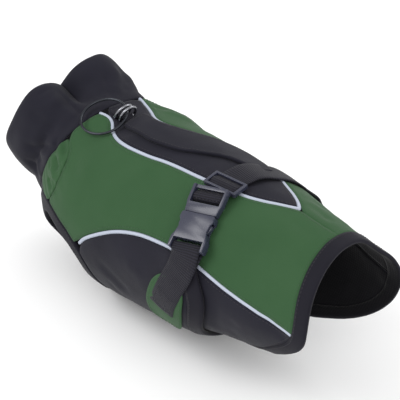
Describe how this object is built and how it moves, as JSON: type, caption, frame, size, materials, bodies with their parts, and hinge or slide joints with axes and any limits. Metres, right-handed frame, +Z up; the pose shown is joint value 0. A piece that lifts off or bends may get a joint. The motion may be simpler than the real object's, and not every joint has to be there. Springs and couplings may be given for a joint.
{
  "type": "dog softshell coat",
  "caption": "Dog coat of softshell in its filled-out worn form, with a tall neck tube, a girth strap with a side-release buckle, and a leash ring at the withers.",
  "frame": {"origin": "where the wearer's back carries the coat: the inner face of the spine panel, mid back", "axes": "+X toward the tail along the back, -X toward the head, +Z up away from the back, -Y the coat's left side"},
  "size_m": [0.3704, 0.1584, 0.1676],
  "materials": {
    "green_softshell": "matt woven face",
    "black_softshell": "matt woven face",
    "black_tape": "matt ribbed weave",
    "reflective_piping": "satin, retroreflective",
    "black_acetal": "moulded satin",
    "nickel": "nickel plate",
    "dark_steel": "dark nickel plate"
  },
  "bodies": {
    "coat": {"spine_panel": "black_softshell", "side_panel_left": "green_softshell", "side_panel_right": "green_softshell", "neck_gather_left": "green_softshell", "neck_gather_right": "green_softshell", "flank_flap_left": "black_softshell", "flank_flap_right": "black_softshell", "leg_binding_left": "black_tape", "leg_binding_right": "black_tape", "lower_piping_left": "reflective_piping", "lower_piping_right": "reflective_piping", "belly_panel": "black_softshell", "hem_binding": "black_tape", "belly_binding": "black_tape", "spine_piping": "reflective_piping", "harness_strip": "black_softshell", "strap_tab": "green_softshell", "girth_webbing": "black_tape", "tab_webbing": "black_tape", "collar": "black_softshell", "buckle_male": "black_acetal", "buckle_female": "black_acetal", "slider": "black_acetal", "dring_loop": "black_tape"},
    "front_ring": {"dring_front": "nickel"},
    "rear_ring": {"dring_rear": "nickel"},
    "leash_ring_body": {"leash_ring": "dark_steel"}
  },
  "joints": [
    {"name": "dring_front_tilt", "type": "hinge", "parent": "coat", "child": "front_ring", "pos_m": [-0.08091, -0.00167, -0.00063], "axis": [0.0174, 0.9994, 0.0291], "range_deg": [-15, 0]},
    {"name": "dring_rear_tilt", "type": "hinge", "parent": "coat", "child": "rear_ring", "pos_m": [-0.07403, -0.00188, -0.00043], "axis": [0.0353, 0.9976, 0.0593], "range_deg": [-15, 0]},
    {"name": "leash_ring_swing", "type": "hinge", "parent": "coat", "child": "leash_ring_body", "pos_m": [-0.0769, -0.0002, 0.0068], "axis": [-0.8811, 0.4202, 0.2172], "range_deg": [0, 120]}
  ]
}
